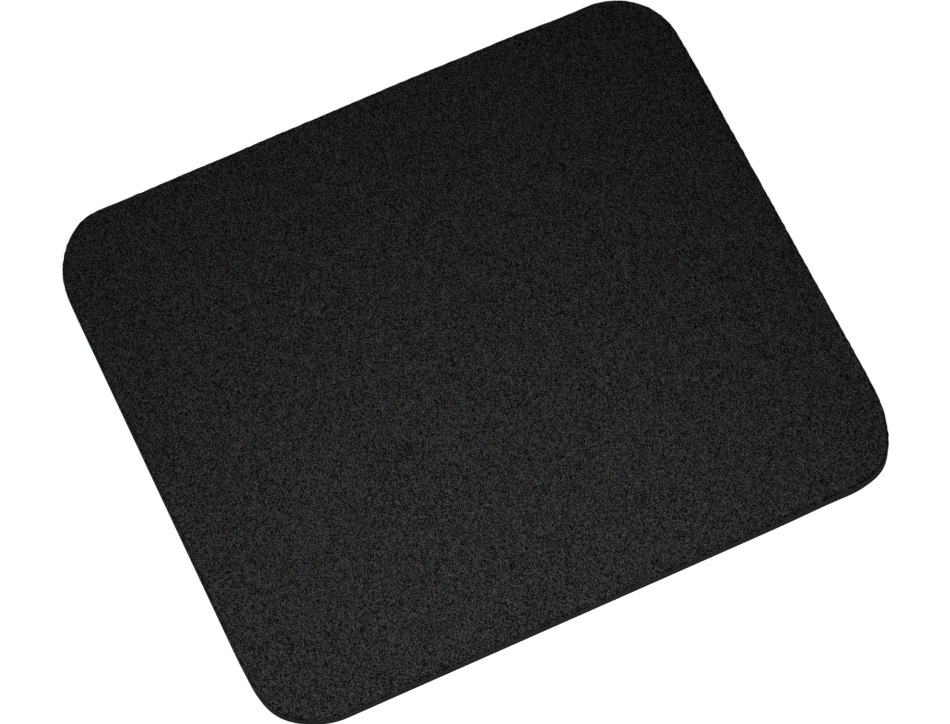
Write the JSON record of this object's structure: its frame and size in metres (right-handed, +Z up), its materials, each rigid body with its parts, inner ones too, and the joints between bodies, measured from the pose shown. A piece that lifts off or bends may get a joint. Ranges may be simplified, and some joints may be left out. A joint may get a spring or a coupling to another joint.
{
  "type": "mouse pad",
  "caption": "Flat rounded-rectangle mouse pad: black knitted cloth laminated to a black sponge rubber base.",
  "frame": {"origin": "middle of the underside, on the plane that the pad lies on", "axes": "+X along the long side, +Y along the short side, +Z up out of the cloth"},
  "size_m": [0.2286, 0.2032, 0.005],
  "materials": {
    "sponge_rubber": "matte",
    "hot_melt_film": "satin",
    "knit_cloth": "matte"
  },
  "bodies": {
    "root": {"rubber_base": "sponge_rubber", "bonding_film": "hot_melt_film", "cloth_top": "knit_cloth"}
  },
  "joints": []
}
